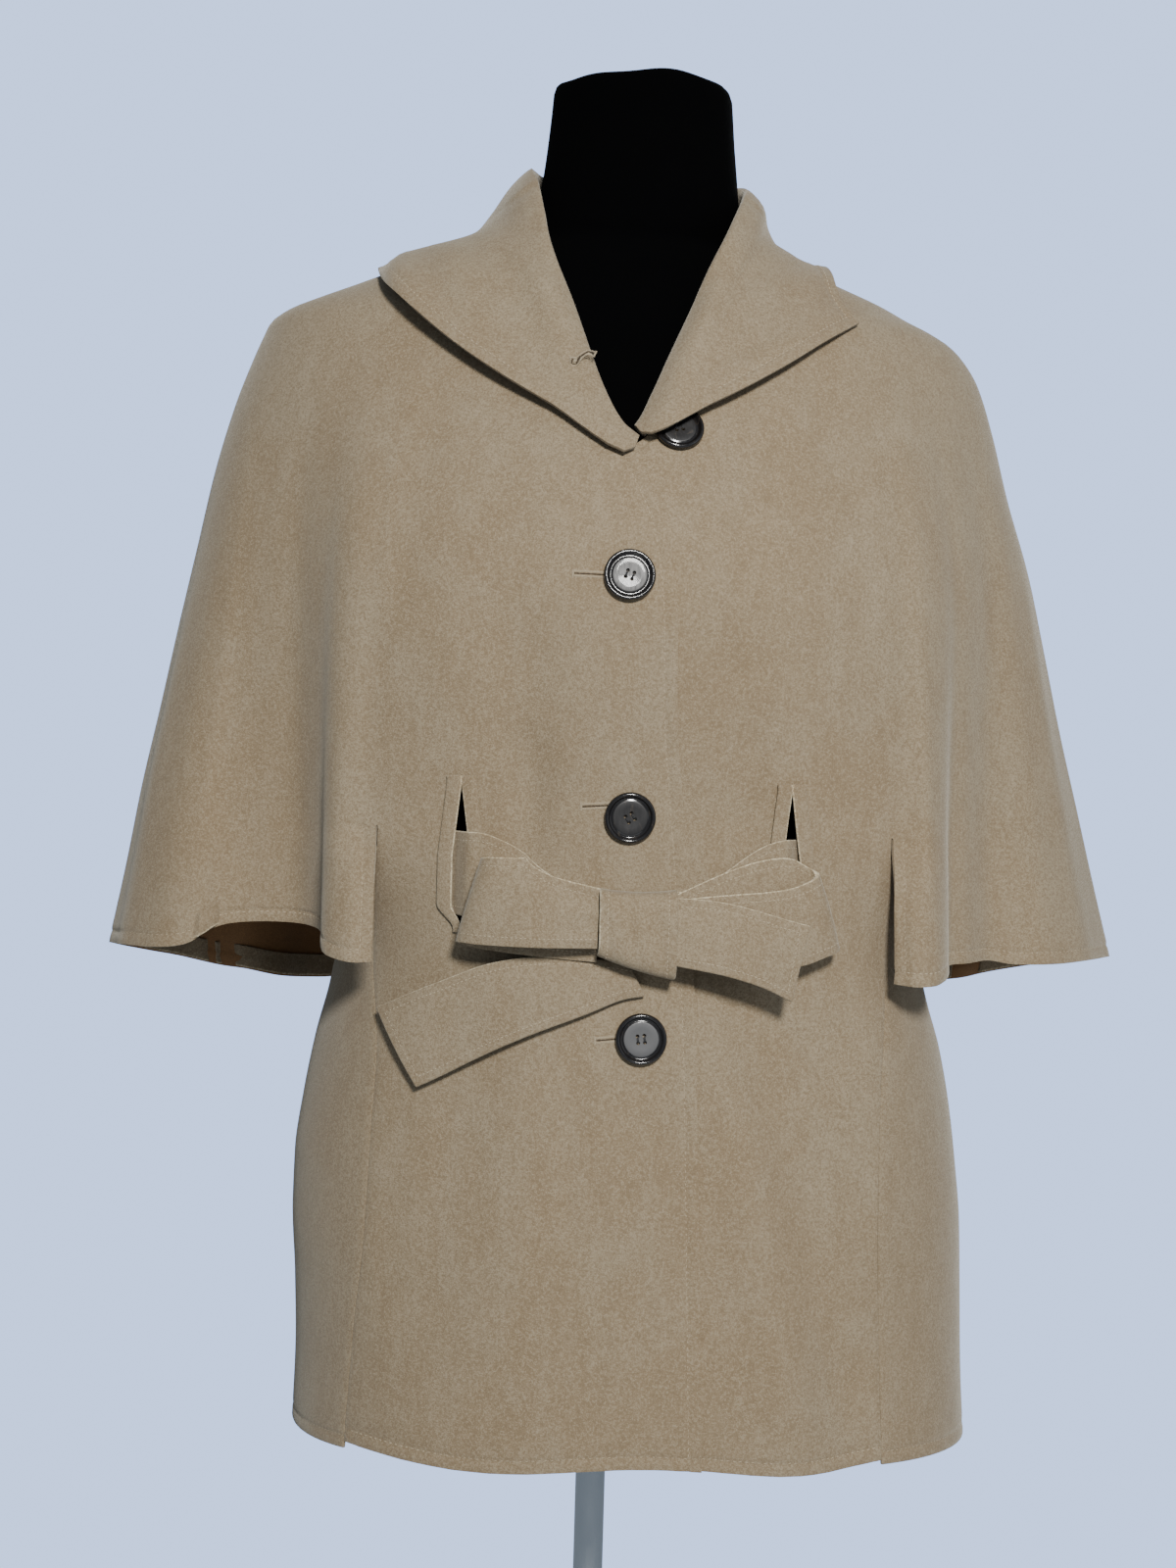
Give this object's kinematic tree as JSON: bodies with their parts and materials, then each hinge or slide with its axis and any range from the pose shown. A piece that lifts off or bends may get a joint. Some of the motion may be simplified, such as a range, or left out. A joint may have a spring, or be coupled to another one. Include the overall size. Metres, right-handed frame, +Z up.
{
  "type": "suede cape jacket on a limbless dress form with pole and base",
  "caption": "Tan suede cape jacket with wing collar, dark horn buttons and a tied belt through welted slits, on a black limbless dress form with a chrome pole and round base.",
  "frame": {"origin": "on the flat underside of the round base, at floor level, 4 mm beside the pole's axis, under the middle of the jacket", "axes": "+Z up along the pole, -Y out of the jacket's front, +X towards the wearer's left"},
  "size_m": [0.5945, 0.3099, 1.448],
  "materials": {
    "suede": "napped matte",
    "horn": "polished dark horn look",
    "cover": "matte velvety",
    "chrome": "polished"
  },
  "bodies": {
    "root": {"front_right": "suede", "front_left": "suede", "back_right": "suede", "back_left": "suede", "side_right": "suede", "side_left": "suede", "collar": "suede", "welt_right_inner": "suede", "welt_right_outer": "suede", "welt_left_inner": "suede", "welt_left_outer": "suede", "belt_waist": "suede", "belt_knot": "suede", "belt_loop_right": "suede", "belt_loop_left": "suede", "belt_end_right": "suede", "belt_end_left": "suede", "button_1": "horn", "button_2": "horn", "button_3": "horn", "button_4": "horn", "dress_form": "cover", "pole_socket": "chrome", "pole": "chrome", "base_plate": "chrome"}
  },
  "joints": []
}
